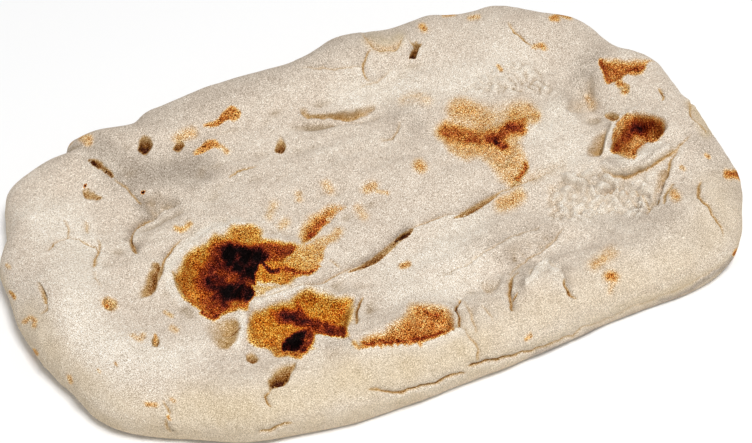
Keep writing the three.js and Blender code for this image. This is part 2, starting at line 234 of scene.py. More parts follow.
# Seams, cracks, valleys and ridges
CREASES = [
    # the long seam across the middle
    fold(3.2, 0.7, 1.8, 0.9, 0.9, (243, 304, 0.4), (270, 296, 0.4), (300, 286, 0.5), (316, 284, 0.8),
        (330, 276, 0.5), (345, 269, 0.6), (356, 265, 0.9), (368, 261), (380, 253, 0.9), (390, 245, 0.8),
        (398, 237), (407, 232), (413, 229, 0.8), (420, 225, 0.5), (432, 219, 0.65), (446, 214, 0.65),
        (457, 213, 0.8), (466, 209), (478, 203), (490, 197, 0.9), (499, 191, 0.5), (512, 186, 0.45),
        (528, 180, 0.3), (545, 173, 0.2), (560, 166, 0.1), smooth=True),
    # edge of the tongue, and the crack beside the large blister
    fold(2.2, 0.6, 1.8, 0.6, 0.66, (158, 215, 0.2), (150, 219, 0.6), (142, 223), (134, 230), (130, 239),
        (132, 247, 0.8), (136, 253, 0.3)),
    fold(1.4, 0.6, 1.4, 0.5, 0.55, (183, 238, 0.3), (174, 246), (167, 256), (163, 265), (161, 273),
        (160, 282, 0.4)),
    fold(0.8, 0.6, 1, 0.2, 0.4, (113, 178, 0.6), (122, 184), (130, 192), (138, 198), (143, 204, 0.4)),
    fold(1.5, 0.4, 1.5, 1, 0.8, (357, 349, 0.5), (380, 347), (402, 345.5), (420, 344.5), (436, 339.5),
        (455, 333), (468, 331, 0.5), smooth=True),
    # crest of the near rim behind the trough
    fold(-2.8, 6, 1.2, 0, 0, (298, 366, 0.3), (309, 351, 0.8), (322, 342), (345, 343, 0.8), (358, 352),
        (380, 348), (402, 346), (420, 345), (436, 340), (455, 335), (470, 334, 0.3), smooth=True),
    # fold below the right cavity, and the cracks beside the floury pit
    fold(2.4, 2.4, 0.8, 0, 0.62, (600, 165, 0.2), (612, 174, 0.5), (628, 177), (640, 172), (652, 166),
        (660, 160), (677, 147, 0.6), (694, 135, 0.3)),
    fold(-1.8, 2.8, 3.5, 0, 0, (602, 160, 0.5), (614, 167), (630, 168), (645, 162), (658, 154),
        (672, 144, 0.5)),
    fold(-2.6, 1.5, 1.1, 0, 0, (603, 158, 0.4), (605, 147), (610, 135), (616, 124), (622, 116, 0.3)),
    fold(1.4, 0.7, 1.5, 0.4, 0.48, (678, 146, 0.3), (672, 158), (668, 172), (664, 184), (659, 195),
        (655, 206, 0.4)),
    fold(1, 0.7, 1.2, 0.3, 0.48, (673, 184, 0.4), (666, 193), (662, 203, 0.5)),
    fold(1.1, 0.8, 1.6, 0.4, 0.24, (600, 201, 0.4), (608, 193), (620, 190), (634, 193), (643, 199),
        (647, 207), (645, 215, 0.4)),
    fold(0.9, 0.8, 1.4, 0.3, 0.16, (616, 205, 0.4), (626, 200), (636, 203), (640, 210, 0.4)),
    # valleys between the seam and the near rim
    fold(1, 0.8, 4, 0.3, 0.16, (440, 277, 0.3), (455, 270), (480, 255), (500, 243), (520, 234),
        (545, 224, 0.5)),
    fold(1, 0.8, 2.5, 0.3, 0.24, (508, 275, 0.4), (522, 264), (538, 252), (553, 239), (564, 228, 0.5)),
    # star of cracks in the far middle
    fold(1.6, 0.8, 2, 0.5, 0.16, (449, 131, 0.4), (462, 133), (475, 138), (489, 140), (500, 134),
        (511, 128), (522, 125, 0.5)),
    fold(1.2, 0.7, 1.4, 0.5, 0.16, (482, 139, 0.4), (492, 144), (501, 150), (508, 155), (512, 160, 0.5)),
    fold(0.9, 0.5, 0.8, 0.4, 0.8, (494, 158, 0.5), (497, 163), (502, 166), (508, 164), (512, 159, 0.5)),
    fold(1.2, 0.7, 1.2, 0.3, 0.8, (521, 162, 0.4), (524, 168), (521, 174), (516, 180), (510, 184, 0.4)),
    # far right patch
    fold(1.2, 0.6, 1.5, 0.4, 0.16, (600, 58, 0.5), (605, 70), (610, 84), (620, 77), (634, 70),
        (652, 62, 0.4)),
    fold(0.8, 0.6, 1, 0, 0.64, (659, 89, 0.4), (660, 94), (662, 100, 0.6)),
    # cracks beside the blisters and the trough
    fold(0.6, 0.5, 0.8, 0.3, 0.8, (172, 275, 0.5), (177, 287), (182, 297), (187, 301, 0.5)),
    fold(1.2, 0.6, 1.2, 0.4, 0.8, (295, 271, 0.5), (301, 274), (310, 273), (319, 268, 0.5)),
    fold(0.8, 0.6, 1, 0.3, 0.32, (328, 260, 0.5), (335, 262), (340, 268, 0.5)),
    fold(1.2, 0.6, 1, 0.6, 0.8, (366, 296, 0.4), (359, 303), (357, 315), (356, 329, 0.5)),
    fold(0.9, 0.6, 1.2, 0.3, 0.64, (421, 311, 0.6), (432, 314), (442, 312, 0.6)),
    fold(1, 0.6, 1, 0.2, 0.8, (222, 333, 0.6), (232, 332), (240, 329)),
    # round the bump on the near rim
    fold(1.6, 0.8, 1.2, 0.4, 0.62, (522, 272, 0.2), (514, 274, 0.6), (509, 281), (508, 290), (509, 298),
        (511, 306), (513, 312, 0.4)),
    fold(0.8, 0.6, 0.8, 0.2, 0.72, (511, 299, 0.8), (514, 295), (517, 292, 0.4)),
    fold(-1.6, 3, 1.2, 0, 0, (525, 292, 0.3), (529, 279), (536, 271), (546, 267), (556, 272), (563, 282),
        (569, 294, 0.4)),
    fold(1.4, 0.8, 1.8, 0.4, 0.19, (527, 283, 0.3), (531, 272), (538, 265), (546, 262), (556, 268),
        (562, 274, 0.5)),
    fold(1.3, 0.7, 1.1, 0.3, 0.75, (563, 281, 0.6), (566, 289), (570, 296), (577, 300, 0.3)),
    # near rim
    fold(1.6, 0.7, 1, 0.5, 1.2, (461, 297, 0.4), (458, 304), (455, 311), (458, 317, 0.7), (459, 325, 0.6),
        (458, 332, 0.4)),
    fold(0.8, 0.7, 1, 0.3, 0.24, (463, 300, 0.4), (472, 311), (474, 322), (476, 332, 0.6)),
    fold(0.7, 0.7, 1, 0.2, 0.24, (480, 306, 0.4), (488, 312), (494, 322, 0.4)),
    fold(0.9, 0.7, 1, 0.3, 0.32, (464, 333, 0.4), (471, 338), (476, 347), (478, 356), (479, 362, 0.4)),
    # left end
    fold(1.1, 0.6, 1.2, 0.5, 0.48, (46, 253, 0.3), (57, 242), (68, 237), (80, 240, 0.7), (92, 246),
        (98, 252), (96, 262), (92, 270, 0.4)),
    fold(0.6, 0.6, 0.9, 0.2, 0.32, (98, 240, 0.5), (99, 247), (98, 253, 0.5)),
    fold(0.6, 0.6, 0.9, 0.1, 0.32, (64, 219, 0.4), (70, 228), (67, 237, 0.6)),
    fold(0.6, 0.6, 0.9, 0.1, 0.32, (87, 221, 0.4), (87, 228), (87, 234, 0.4)),
    fold(0.6, 0.6, 0.9, 0.1, 0.16, (92, 272, 0.4), (97, 281), (102, 288, 0.4)),
    fold(0.7, 0.6, 0.9, 0.1, 0.32, (49, 303, 0.6), (46, 310), (40, 315, 0.4)),
    # far rim
    fold(1.6, 0.8, 1.2, 0.3, 0.64, (416, 41, 0.6), (416, 50), (413, 58)),
    fold(1.2, 0.7, 1.4, 0.3, 0.36, (362, 33, 0.6), (370, 42), (377, 50), (388, 51), (397, 48),
        (402, 38, 0.5)),
    fold(1, 0.7, 1.4, 0.2, 0.48, (371, 50, 0.4), (365, 58), (363, 67), (365, 75), (368, 82, 0.5)),
    fold(1, 0.8, 2, 0.2, 0.16, (360, 87, 0.4), (371, 82), (382, 76), (394, 71, 0.3)),
    fold(0.8, 0.7, 1.5, 0.2, 0.24, (300, 68, 0.3), (322, 68), (342, 68), (362, 68, 0.5)),
    fold(0.9, 0.6, 1, 0.5, 0.48, (506, 22, 0.3), (515, 33), (523, 41), (532, 46, 0.6)),
    fold(0.8, 0.6, 1.5, 0.3, 0.24, (380, 140, 0.3), (391, 136), (397, 129), (398, 121, 0.3)),
    fold(0.8, 0.7, 1.5, 0.2, 0.48, (228, 176, 0.6), (240, 171), (257, 167, 0.4)),
    # right end
    fold(1.2, 0.8, 1.5, 0.3, 0.48, (690, 100, 0.4), (690, 112), (696, 121), (706, 132, 0.5)),
    fold(1, 0.7, 1, 0.3, 0.56, (704, 180, 0.5), (699, 188), (699, 199), (709, 207), (717, 221),
        (724, 238, 0.3)),
    # near left
    fold(0.7, 0.6, 1, 0.4, 0.4, (162, 399, 0.4), (168, 410), (171, 416, 0.6)),
    fold(0.6, 0.6, 1, 0.2, 0.4, (166, 419, 0.5), (166, 426), (171, 434, 0.4)),
    fold(0.9, 0.6, 1, 0.3, 0.64, (269, 393, 0.7), (265, 397), (267, 402), (271, 406, 0.4)),
    # skirt along the near side
    fold(1.4, 0.9, 1.3, 0.2, 0.8, (466, 366, 0.3), (474, 365), (487, 363), (506, 359, 0.8), (527, 353, 0.6),
        (544, 348, 0.5), (565, 338, 0.4), (600, 322, 0.2), (650, 302, 0.15), (700, 279, 0.15),
        (734, 258, 0.1)),
    fold(1.1, 0.8, 1.3, 0.3, 0.66, (366, 387, 0.3), (385, 391), (402, 393), (418, 389), (436, 383),
        (452, 378), (468, 372, 0.6)),
    fold(0.9, 0.8, 1.2, 0.2, 0.56, (260, 434, 0.5), (276, 428), (294, 423, 0.4)),
]
TINT_WIDTH = 0.55          # half width of the brown line in a crack
PAINTED_SHADE_BEHIND_CREASE = 0.7         # how much painted shade the skin behind a crease takes
PAINTED_LIGHT_BEFORE_CREASE = 0.6        # and how much painted light, laid on as flour, its near side takes
PAINTED_SHADE_REACH = 2.2        # how far the painted shade reaches behind a crease, in its own spreads
PAINTED_SHADE_FULL_DEPTH = 2          # creases at least this deep give the full painted shade and light
TAPER = 0.06               # share of a crease's length over which its ends fade
FADED = 3                  # spreads at which a bell curve has faded

# Lumpy floury skin: height and size of the lumps, seed, and the edge that shows
PEBBLES = [
    dict(rise=4.8, size=4.5, seed=41, toward=(0, 1), edge=[
        (547, 190), (566, 170), (600, 166), (630, 178), (652, 172), (656, 192), (648, 216), (610, 220),
        (572, 224), (546, 222)]),
    dict(rise=1.8, size=3.5, seed=42, toward=(0, 1), edge=[
        (452, 92), (470, 76), (500, 58), (530, 58), (552, 76), (560, 96), (530, 98), (490, 98)]),
]
PEBBLE_FADE = 5            # length over which the lumps come in from the edge
PEBBLE_GAIN = 2            # the noise is folded up into lumps
PEBBLE_SINK = 0.35         # and sunk by this share of their height

# Browning, laid on in this order
BROWNING = [
    # large burnt blister, from its golden wall to its black floor
    patch(0.415, 0.5, 4.5, (-0.2, 1), (172, 275), (176, 285), (181, 296), (187, 301), (196, 308),
        (203, 316), (211, 320), (219, 318), (229, 314), (239, 310), (246, 305), (253, 300), (256, 293),
        (253, 287), (247, 283), (258, 281), (272, 284), (284, 285), (294, 280), (308, 276), (319, 268),
        (324, 258), (327, 248), (331, 238), (318, 240), (306, 244), (297, 240), (284, 239), (272, 239),
        (262, 235), (254, 228), (245, 224), (233, 226), (222, 231), (211, 233), (205, 240), (195, 243),
        (187, 251), (180, 261)),
    patch(0.58, 1.5, 4, (0.3, 1), (190, 280), (198, 262), (206, 248), (216, 238), (228, 236), (240, 240),
        (256, 240), (272, 241), (288, 242), (297, 244), (290, 254), (280, 261), (268, 263), (262, 268),
        (258, 282), (254, 292), (248, 303), (236, 310), (214, 318), (203, 312), (196, 298)),
    patch(0.75, 1.5, 4, (1, 0), (198, 284), (202, 264), (210, 250), (219, 239), (232, 237), (246, 242),
        (262, 243), (276, 246), (286, 251), (276, 260), (264, 263), (260, 275), (256, 290), (250, 302),
        (238, 309), (222, 310), (206, 302)),
    patch(1.04, 1.2, 5.5, (1, 0.2), (214, 256), (219, 244), (228, 240), (240, 244), (256, 246), (267, 249),
        (273, 257), (266, 262), (261, 266), (259, 273), (256, 282), (248, 282), (242, 276), (232, 274),
        (221, 268)),
    patch(1.04, 1.2, 5.5, (1, 0.2), (210, 290), (221, 282), (236, 279), (247, 284), (257, 292), (252, 301),
        (244, 307), (235, 304), (220, 302)),
    stroke(0.68, 1.6, (222, 274), (231, 275), (238, 277)),
    stroke(0.46, 1.9, (234, 305), (239, 304), (243, 305)),
    # its right arm, the flake over that, and the flap below
    stroke(0.64, 3, (268, 248), (280, 250), (291, 250)),
    patch(0.3, 0.5, 2.5, (-0.7, 0.3), (287, 261), (296, 252), (306, 246), (318, 242), (326, 246),
        (324, 257), (318, 266), (308, 272), (298, 271), (290, 267)),
    # painted highlight along the lit edge of the flake
    stroke(0.16, 0.5, (285, 262), (292, 255), (300, 249), (308, 245)),
    stroke(0.42, 2.8, (264, 275), (276, 276), (288, 276)),
    stroke(0.95, 0.7, (262, 263), (267, 268), (273, 272), (279, 270)),
    stroke(0.64, 0.7, (286, 267), (292, 269), (297, 273), (304, 275), (312, 272), (319, 267)),
    patch(0.13, 0.6, 1.5, (0, 1), (247, 284), (256, 283), (268, 285), (282, 285), (288, 287), (275, 291),
        (262, 295), (256, 297), (254, 291)),
    stroke(0.36, 3, (234, 232), (245, 231), (254, 235)),
    stroke(0.3, 1.1, (178, 284), (182, 292), (186, 298)),
    stroke(0.66, 0.8, (202, 313), (210, 318), (218, 316)),
    # furrow behind it
    patch(0.52, 0.6, 8, (0.7, 0.7), (298, 247), (310, 241), (322, 228), (334, 217), (347, 207), (343, 202),
        (328, 202), (314, 208), (301, 218), (295, 232)),
    stroke(0.56, 1.8, (309, 237), (316, 229), (324, 222)),
    stroke(0.1, 0.8, (327, 220), (335, 214), (343, 208)),
    # second blister and its hole
    patch(0.4, 0.8, 5, (0.2, 1), (244, 330), (245, 320), (250, 311), (262, 305), (280, 299), (294, 294),
        (306, 289), (322, 289), (329, 293), (336, 297), (357, 295), (353, 301), (349, 309), (352, 316),
        (351, 330), (347, 336), (335, 337), (320, 337), (313, 343), (306, 351), (302, 358), (290, 355),
        (277, 355), (265, 347), (257, 349), (247, 342)),
    stroke(0.43, 5, (308, 300), (322, 308), (340, 312)),
    patch(0.64, 1.2, 3, (0, 1), (268, 308), (284, 307), (292, 306), (297, 296), (304, 306), (314, 315),
        (330, 318), (346, 324), (349, 336), (330, 337), (316, 335), (304, 329), (290, 325), (274, 325)),
    stroke(0.84, 2.4, (284, 316), (296, 320), (308, 323), (318, 326)),
    stroke(0.74, 2, (322, 327), (333, 330), (344, 332)),
    patch(0.45, 0.5, 0.8, (0, 1), (279, 341), (284, 327), (290, 324), (300, 327), (311, 324), (304, 329),
        (294, 331), (286, 335)),
    patch(1.02, 0.8, 1.2, (0, 1), (281, 346), (287, 335), (296, 330), (306, 329), (310, 333), (304, 344),
        (299, 352), (289, 353), (282, 352)),
    stroke(0.72, 1.8, (312, 332), (309, 341), (303, 350)),
    stroke(0.45, 1, (278, 354), (290, 355), (300, 356)),
    # trough behind the near rim
    patch(0.42, 1.6, 7, (0.4, 1), (384, 346), (400, 344), (420, 343), (436, 338), (448, 333), (457, 329),
        (455, 312), (446, 302), (428, 298), (408, 299), (400, 312), (384, 324), smooth=True),
    patch(0.47, 0.3, 6, (0.2, 1), (356, 349), (380, 345.5), (402, 344), (420, 343), (436, 338), (448, 333),
        (440, 324), (420, 326), (396, 328), (376, 329), (360, 336), smooth=True),
    stroke(0.46, 2, (428, 326), (437, 323), (442, 330)),
    stroke(0.66, 0.7, (364, 344), (380, 343), (400, 341.5), (420, 340), (436, 335), (448, 330)),
    stroke(0.56, 0.6, (420, 309), (428, 314), (436, 314), (441, 312)),
    stroke(0.3, 0.7, (434, 321), (439, 327), (445, 330)),
    stroke(0.24, 1.2, (354, 343), (358, 347)),
    # star of cracks
    patch(0.22, 5, 5, (0, 1), (436, 124), (452, 116), (470, 122), (490, 124), (506, 117), (524, 116),
        (530, 128), (526, 142), (530, 160), (526, 186), (508, 191), (494, 178), (480, 164), (460, 163),
        (442, 150), (434, 136)),
    stroke(0.14, 6, (462, 112), (478, 120), (500, 120), (522, 115)),
    stroke(0.23, 4.2, (459, 108), (469, 111), (478, 116), (484, 122)),
    stroke(0.25, 3.2, (515, 113), (525, 112), (534, 116)),
    patch(0.39, 3.2, 4.5, (0, 1), (440, 126), (452, 121), (464, 124), (476, 131), (490, 131), (504, 122),
        (520, 119), (525, 127), (518, 134), (510, 142), (514, 156), (506, 158), (494, 150), (482, 146),
        (466, 146), (450, 142)),
    stroke(0.53, 3.6, (445, 131), (457, 134), (467, 137), (478, 139)),
    stroke(0.6, 3.2, (490, 138), (501, 133), (511, 129), (520, 126)),
    stroke(0.74, 1.4, (488, 139), (498, 142), (504, 147)),
    stroke(0.56, 1.1, (524, 164), (523, 170), (518, 178)),
    # cavity at the right end
    patch(0.46, 0.8, 4, (-0.2, 1), (609, 152), (611, 140), (616, 128), (624, 116), (632, 110), (646, 110),
        (660, 115), (668, 124), (664, 136), (654, 142), (642, 145), (638, 157), (628, 159), (619, 155)),
    patch(0.6, 1, 2.5, (0, 1), (611, 150), (616, 138), (624, 128), (632, 118), (644, 116), (658, 118),
        (662, 126), (652, 134), (642, 138), (632, 142), (620, 152)),
    patch(0.8, 0.8, 2, (0, 1), (620, 147), (627, 136), (632, 126), (640, 122), (650, 123), (659, 119),
        (654, 127), (645, 131), (642, 139), (634, 138), (627, 145)),
    stroke(0.36, 3, (628, 152), (633, 146), (636, 141)),
    stroke(0.36, 1.2, (614, 138), (619, 126), (626, 116)),
    # far right patch
    patch(0.475, 0.6, 4, (-0.6, 0.7), (599, 57), (612, 57), (626, 58), (642, 57), (655, 60), (648, 66),
        (643, 74), (634, 78), (626, 75), (616, 79), (611, 86), (606, 84), (603, 74)),
    stroke(0.56, 1, (602, 62), (605, 72), (608, 82), (616, 78), (628, 72), (642, 66)),
    stroke(0.4, 1.3, (620, 82), (625, 87), (624, 92)),
    stroke(0.12, 2, (588, 97), (592, 106)),
    # pale tan that goes on behind the seam
    stroke(0.06, 2.8, (532, 178), (548, 172), (562, 165)),
    # tan spots of the far left
    patch(0.42, 0.8, 1.2, (0, 1), (204, 124), (214, 119), (222, 111), (230, 106), (238, 108), (242, 114),
        (239, 120), (228, 122), (218, 126), (209, 127)),
    patch(0.4, 0.8, 1.2, (0, 1), (192, 155), (196, 147), (204, 141), (212, 140), (219, 145), (222, 149),
        (212, 151), (203, 153), (196, 157)),
    stroke(0.2, 1.2, (222, 147), (227, 152)),
    stroke(0.16, 2.5, (178, 138), (186, 134), (192, 133)),
    stroke(0.2, 2.2, (83, 138), (88, 138), (88, 142)),
    stroke(0.25, 1.2, (66, 145), (70, 141)),
    # tan spots of the middle
    stroke(0.24, 3.4, (502, 204), (510, 201), (518, 196)),
    stroke(0.28, 2.4, (419, 165), (421, 167)),
    stroke(0.26, 1.5, (402, 266), (408, 264)),
    stroke(0.2, 2, (367, 189), (373, 186)),
    stroke(0.18, 0.8, (376, 191), (388, 193)),
    stroke(0.12, 2, (358, 208), (364, 216)),
    stroke(0.14, 2, (326, 184), (330, 190)),
    stroke(0.15, 1.5, (298, 194), (299, 199)),
    stroke(0.1, 2, (269, 216), (274, 205)),
    stroke(0.1, 2, (282, 226), (286, 222)),
    stroke(0.2, 2, (318, 242), (332, 238), (338, 232)),
    stroke(0.24, 1.2, (176, 228), (182, 230), (190, 224)),
    stroke(0.3, 0.9, (180, 230), (184, 229)),
    # tan spots of the right end
    stroke(0.26, 2, (673, 193), (676, 197)),
    stroke(0.2, 0.9, (681, 167), (684, 169)),
    stroke(0.26, 0.9, (706, 155), (709, 157)),
    stroke(0.3, 2.5, (610, 276), (613, 278)),
    stroke(0.42, 1, (611, 277), (613, 277)),
    stroke(0.12, 1.5, (612, 284), (610, 292)),
    stroke(0.13, 3, (594, 265), (602, 259), (611, 253)),
    stroke(0.2, 1.2, (597, 263), (604, 258)),
    stroke(0.26, 0.9, (526, 339), (531, 336)),
    stroke(0.06, 2, (553, 188), (552, 200), (556, 212)),
    stroke(0.5, 1.8, (728, 174), (737, 175), (746, 179)),
    stroke(0.5, 0.6, (734, 256), (737, 250)),
    stroke(0.05, 3, (693, 106), (700, 116), (706, 128)),
    # far rim
    stroke(0.4, 1.1, (551, 19), (556, 18)),
    stroke(0.32, 1.2, (560, 14), (570, 17)),
    stroke(0.26, 1, (444, 15), (454, 14)),
    stroke(0.2, 1.2, (470, 18), (478, 17)),
    stroke(0.3, 1.5, (422, 26), (424, 29)),
    stroke(0.42, 1.2, (542, 45), (544, 48)),
    stroke(0.24, 1.2, (534, 47), (538, 46)),
    stroke(0.3, 0.8, (498, 66), (501, 70)),
    stroke(0.1, 2, (368, 41), (378, 48), (390, 48), (398, 44)),
    stroke(0.1, 3, (404, 100), (416, 97), (426, 100)),
    # left end
    stroke(0.22, 1.2, (24, 322), (30, 318), (35, 321), (34, 326)),
    stroke(0.14, 1.6, (133, 336), (140, 339), (143, 335)),
    stroke(0.2, 0.8, (7, 265), (9, 267)),
    stroke(0.36, 0.9, (11, 293), (14, 297)),
    stroke(0.3, 0.8, (34, 350), (37, 354)),
    stroke(0.2, 1.2, (69, 377), (71, 382)),
    stroke(0.2, 1.2, (147, 404), (156, 405)),
    stroke(0.16, 1, (171, 399), (174, 401)),
    stroke(0.4, 0.7, (168, 417), (170, 419)),
    stroke(0.18, 0.7, (98, 370), (100, 372)),
    stroke(0.18, 0.7, (115, 363), (117, 365)),
    stroke(0.16, 0.9, (165, 312), (172, 316)),
    stroke(0.14, 1.4, (172, 328), (176, 330)),
    stroke(0.35, 2.2, (107, 303), (112, 305)),
    stroke(0.58, 0.7, (105, 306), (108, 308)),
    stroke(0.4, 0.9, (155, 336), (154, 344)),
    stroke(1.1, 0.5, (83.5, 186), (84.5, 186)),
    stroke(1.1, 0.45, (144, 191.5), (145, 191.5)),
]

CLEAR = 0.3                # height above the skin from which a point looks towards the camera
SOFT_SHADE = 0.36          # strokes paler than this keep smooth edges
STROKE_REACH = 1.7         # a stroke ends at this many radii
STROKE_FADE = 1.6          # and fades over this many
STROKE_CURVE = 1.3         # more draws the fading in towards its middle
STAIN_LEAST = 0.15         # share of a dent's stain on its gentle side
STAIN_CURVE = 1.2          # how late the stain deepens towards the steep side
STAIN_RISE = 2             # how fast it comes in at the edge
TONE_FACING = -0.3         # skin turned further from the camera than this takes no tone
SIDE_BARE = 0.6            # how bare of flour the side of the bread is
SIDE_SLOPE = 0.75          # where the normal's rise is less than this, the side begins
SIDE_FADE = 0.7            # and is fully bare where the rise is less by this

# Strokes of skin that kept little flour, of thick flour with painted light, of browning free of flour, and
# of painted shade
BARE = [
    stroke(0.7, 13, (190, 415), (260, 410), (330, 388), (400, 368), (470, 345)),
    stroke(0.4, 13, (470, 345), (540, 315), (610, 290), (680, 255), (716, 222), (722, 195)),
    stroke(0.5, 9, (30, 320), (60, 365), (110, 400), (160, 420)),
    stroke(1, 3.2, (693, 106), (700, 116), (707, 130)),
    stroke(0.9, 4, (372, 39), (383, 44), (396, 40)),
]
# Thick flour; the broad strokes also paint light on the brighter zones of the skin
FLOUR_AND_PAINTED_LIGHT = [
    # left end
    stroke(0.8, 11, (50, 225), (75, 235), (85, 265), (80, 300), (95, 340), (120, 360)),
    stroke(0.7, 8, (130, 350), (160, 360), (190, 352)),
    # lips of the blisters
    stroke(1, 2, (240, 222), (222, 226), (205, 231), (188, 244), (176, 258), (168, 272), (171, 288),
        (182, 303)),
    stroke(1, 2, (237, 345), (240, 330), (243, 312), (255, 302), (280, 293), (300, 286)),
    # near side of the seam
    stroke(0.6, 9, (395, 270), (420, 260), (445, 245), (470, 225)),
    stroke(0.6, 8, (400, 292), (440, 288), (475, 262)),
    # far rim and the right end
    stroke(0.6, 8, (345, 95), (385, 92), (425, 88), (465, 78), (500, 62), (525, 52)),
    stroke(0.6, 10, (545, 130), (560, 115), (575, 140), (560, 160)),
    stroke(0.5, 8, (560, 200), (585, 205), (612, 205), (640, 195)),
    stroke(1, 1.6, (606, 151), (608, 139), (613, 128)),
    stroke(0.9, 1.5, (613, 154), (630, 163), (645, 152), (660, 142)),
    stroke(0.9, 1.5, (528, 282), (533, 272), (541, 265), (550, 263), (558, 268)),
]
GLAZE = [
    stroke(1, 22, (215, 275), (255, 265)),
    stroke(1, 16, (270, 325), (310, 315), (330, 315)),
]
# Painted shade: grey on the far edge, in valleys, round the floury pit, under the near overhang and on other
# shaded skin
PAINTED_SHADE_STROKES = [
    stroke(0.42, 7, (52, 158), (75, 140), (110, 132), (150, 120), (190, 106), (230, 90), (270, 76),
        (310, 62), (335, 46), (375, 33), (420, 18)),
    stroke(0.2, 5, (430, 14), (470, 10), (510, 10), (550, 20), (590, 38)),
    stroke(0.45, 7, (120, 160), (150, 165), (185, 160), (205, 150)),
    stroke(1, 4.4, (142, 204), (150, 212), (160, 206), (173, 201)),
    stroke(0.5, 5, (140, 194), (152, 196), (166, 192), (180, 190)),
    stroke(0.75, 9, (575, 195), (600, 190), (630, 200), (600, 212)),
    stroke(1, 9, (100, 150), (125, 172), (160, 172), (200, 170)),
    stroke(0.5, 5, (395, 115), (408, 108), (415, 125)),
    stroke(0.8, 7, (570, 104), (578, 90), (586, 72), (598, 60)),
    stroke(0.45, 3, (520, 292), (524, 277), (532, 267)),
    stroke(0.9, 1.2, (530, 357), (565, 344), (600, 328), (650, 308), (700, 283), (738, 255)),
    stroke(0.35, 8, (650, 240), (670, 220), (690, 235)),
    stroke(0.4, 6, (505, 250), (525, 240), (545, 232)),
    stroke(0.4, 6, (700, 140), (720, 165), (735, 190)),
    stroke(0.5, 2.5, (316, 344), (330, 343), (346, 342)),
]

# Dough noise: amplitude in millimetres, lump size and seed
RAGGED = [(1.3, 6, 11), (0.45, 2.2, 14)]      # sideways wander of every edge
LUMPS = [(1.3, 26, 21), (1.2, 13, 22), (0.9, 7, 23), (0.4, 3.5, 24)]
STRETCH = np.array((0.55, 1, 1))      # lumps are longer along the bread, as it was stretched
PIT_WRINKLES = (0.9, 3, 25)
SCORCH = [(0.25, 5, 31), (0.25, 2, 32)]      # share by which the browning varies
MOTTLE = (0.3, 2.2, 28)      # and of the tint in dents
LUMPS_FROM = 4             # height over which the lumps come in
RIM_CALM = 0.5             # share of the lumps that the rim lacks
CALM_FROM = 0.6            # where that begins, from the middle at 0 to the oval's ends at 1
CALM_OVER = 0.3            # and over what share of the way it grows

# Painted shade in the hollows of the finished skin, tan like dough that kept no flour: smoothing steps to
# compare with, and full depth
HOLLOW_SHADE_STEPS = 6
HOLLOW_SHADE_DEPTH = 0.5
HOLLOW_SHADE_LEAST = 0.35        # shallower than this share, a hollow takes no painted shade


# Form of the unbroken bread

def oval_radius(theta):
    """Distance from the middle to the plain oval."""
    across = np.abs(np.sin(theta) / (WIDTH / 2)) ** CORNER_FULLNESS
    along = np.abs(np.cos(theta) / (LENGTH / 2)) ** CORNER_FULLNESS
    return (across + along) ** (-1 / CORNER_FULLNESS)


def oval_slant(theta):
    """Cosine between the ray from the middle and the square-on direction to the oval."""
    change = oval_radius(theta + SLANT_STEP) - oval_radius(theta - SLANT_STEP)
    slope = change / (2 * SLANT_STEP)
    return 1 / np.hypot(1, slope / oval_radius(theta))


def lobe_reach(theta):
    """How far the hand-shaped edge stands out of the oval."""
    reach = np.zeros_like(theta)
    for at, spread, out in EDGE_LOBES:
        turn = theta - math.radians(at)
        off = np.arctan2(np.sin(turn), np.cos(turn)) / math.radians(spread)
        reach += out * np.exp(-off ** 2)
    return reach


def ease(t):
    """Smooth step from 0 to 1."""
    t = np.clip(t, 0, 1)
    return t * t * (3 - 2 * t)


def soft_top(x, y, inset):
    """Height of the unbroken top over a plan point that lies inset inside the outline."""
    height = RIM_HEIGHT - (RIM_HEIGHT - FLOOR_HEIGHT) * ease((inset - RIM_REACH) / SHOULDER)
    for at_x, at_y, long, wide, turn, rise in SWELLS:
        turn = math.radians(turn)
        along = (x - at_x) * math.cos(turn) + (y - at_y) * math.sin(turn)
        across = (y - at_y) * math.cos(turn) - (x - at_x) * math.sin(turn)
        off = np.minimum(np.hypot(along / long, across / wide), 1)
        height = height + rise * (1 - off ** 2) ** 2
    for length, toward, start, rise in WAVES:
        toward = math.radians(toward)
        phase = (x * math.cos(toward) + y * math.sin(toward)) / length
        height = height + rise * np.sin(2 * math.pi * phase + math.radians(start))
    return height


def knead(block):
    """The unbroken bread's points for points of the two-unit block."""
    u, v, w = block.T
    disc_x = u * np.sqrt(1 - v ** 2 / 2)
    disc_y = v * np.sqrt(1 - u ** 2 / 2)
    share = np.minimum(np.hypot(disc_x, disc_y), 1)
    theta = np.arctan2(disc_y * WIDTH, disc_x * LENGTH)
    radius = oval_radius(theta)
    slant = oval_slant(theta)
    rim_start = 1 - RIM_SHARE
    round_rim = np.sin(np.clip((share - rim_start) / RIM_SHARE, 0, 1) * math.pi / 2)
    inset = RIM_REACH * (1 - round_rim)
    inset += (radius * slant - RIM_REACH) * np.clip(1 - share / rim_start, 0, 1)
    under = (1 - w) / 2 * math.pi / 2
    lobes = lobe_reach(theta)
    reach = radius - (inset + FOOT_INSET * (1 - np.cos(under))) / slant + lobes * share ** 2
    foot = (radius - FOOT_INSET / slant + lobes) * share
    reach = np.where(w < -BLOCK_FACE, foot, reach)
    x = reach * np.cos(theta)
    y = reach * np.sin(theta)
    crown = np.sqrt(1 - (1 - np.clip(inset / RIM_REACH, 0, 1)) ** 2)
    above = BELLY_HEIGHT + (soft_top(x, y, inset) - BELLY_HEIGHT) * crown
    below = BELLY_HEIGHT * (1 - np.sin(under))
    bread = np.stack((x, y, np.where(w > BLOCK_FACE, above, below)), 1)
    middle = (bread.min(0) + bread.max(0)) / 2
    return bread - (middle[0], middle[1], 0)


# Sight lines of the photograph

